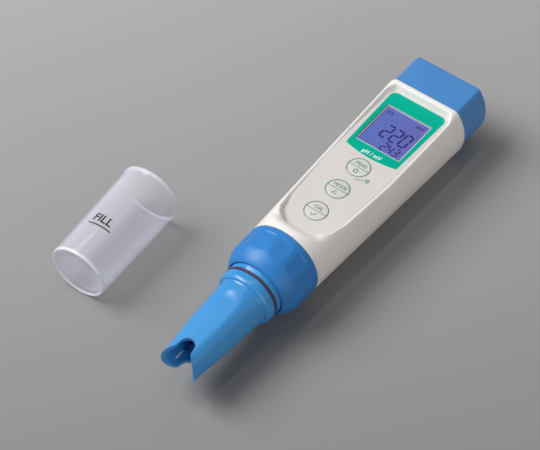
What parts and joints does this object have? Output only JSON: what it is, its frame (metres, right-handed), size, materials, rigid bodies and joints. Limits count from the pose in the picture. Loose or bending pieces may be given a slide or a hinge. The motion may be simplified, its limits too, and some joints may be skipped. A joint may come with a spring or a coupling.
{
  "type": "digital ph meter",
  "caption": "Pocket redox and pH meter with a recessed front panel, display, round keys, screw-on probe, pull-off battery cover and a clear measuring cup.",
  "frame": {"origin": "on the flat back that the meter lies on, under its long axis and halfway along the housing", "axes": "+Y along the meter from the probe to the top cover, +X to the right of the display as it is read with the cover up, +Z out of the front"},
  "size_m": [0.0986, 0.1777, 0.0342],
  "materials": {
    "white_abs": "glossy warm white, moulded",
    "blue_cover": "satin mid blue, moulded",
    "blue_ring": "satin saturated blue, moulded",
    "blue_probe": "glossy light blue, moulded",
    "green_label": "glossy teal green printed film",
    "clear_lens": "clear flat lens",
    "pale_frame": "satin pale grey",
    "display": "blue backlit liquid crystal",
    "milky": "milky white",
    "board_green": "green solder mask",
    "chip_black": "black moulded",
    "steel": "plated",
    "cell_sleeve": "printed sleeve on a can",
    "grey_plastic": "matt grey moulded",
    "red_rubber": "brown-red rubber",
    "black_rubber": "black rubber",
    "glass": "clear glass",
    "platinum": "bright platinum",
    "ceramic": "porous white",
    "holder_blue": "dark blue moulded",
    "clear_cup": "clear moulded"
  },
  "bodies": {
    "meter": {"housing": "white_abs", "keypad_overlay": "white_abs", "label_bezel": "green_label", "display_window": "clear_lens", "display_frame": "pale_frame", "lcd_glass": "display", "backlight_panel": "milky", "display_board": "board_green", "ribbon_cable": "milky", "main_board": "board_green", "processor_chip": "chip_black", "input_amplifier": "chip_black", "buzzer": "chip_black", "key_switch_1": "chip_black", "key_switch_2": "chip_black", "key_switch_3": "chip_black", "board_screw_1": "steel", "board_screw_2": "steel", "board_screw_3": "steel", "board_screw_4": "steel", "electrode_socket": "chip_black", "battery_cage": "grey_plastic", "battery_cell_1": "cell_sleeve", "battery_cell_2": "cell_sleeve", "battery_cell_3": "cell_sleeve", "battery_cell_4": "cell_sleeve", "battery_contact_board": "board_green", "battery_spring_1": "steel", "battery_spring_2": "steel", "battery_spring_3": "steel", "battery_spring_4": "steel", "cover_seal": "black_rubber"},
    "cover": {"top_cover": "blue_cover", "contact_carrier": "grey_plastic", "carrier_contact_left": "steel", "carrier_contact_right": "steel"},
    "measure_button": {"key_measure": "white_abs"},
    "mode_button": {"key_mode": "white_abs"},
    "calibrate_button": {"key_calibrate": "white_abs"},
    "electrode": {"electrode_body": "blue_probe", "electrode_connector": "chip_black", "reference_tube": "glass", "sensor_holder": "holder_blue", "sensor_stem": "glass", "platinum_pin": "platinum", "reference_junction": "ceramic", "signal_wire": "platinum", "probe_o_ring": "red_rubber", "plug_o_ring": "black_rubber"},
    "retaining_ring": {"screw_ring": "blue_ring"},
    "cup": {"measuring_cup": "clear_cup"}
  },
  "joints": [
    {"name": "cover_pull", "type": "slide", "parent": "meter", "child": "cover", "axis": [0, 1, 0], "range_m": [0, 0.03]},
    {"name": "measure_press", "type": "slide", "parent": "meter", "child": "measure_button", "axis": [0, 0, -1], "range_m": [0, 0.0005], "stiffness_N_per_m": 300},
    {"name": "mode_press", "type": "slide", "parent": "meter", "child": "mode_button", "axis": [0, 0, -1], "range_m": [0, 0.0005], "stiffness_N_per_m": 300},
    {"name": "calibrate_press", "type": "slide", "parent": "meter", "child": "calibrate_button", "axis": [0, 0, -1], "range_m": [0, 0.0005], "stiffness_N_per_m": 300},
    {"name": "electrode_pull", "type": "slide", "parent": "meter", "child": "electrode", "axis": [0, -1, 0], "range_m": [0, 0.022]},
    {"name": "ring_turn", "type": "hinge", "parent": "electrode", "child": "retaining_ring", "pos_m": [0, -0.057, 0.0175], "axis": [0, 1, 0], "range_deg": [0, 900]},
    {"name": "cup_carry", "type": "slide", "parent": "meter", "child": "cup", "axis": [0.5441, -0.8384, 0.0319], "range_m": [0, 0.11927]}
  ]
}
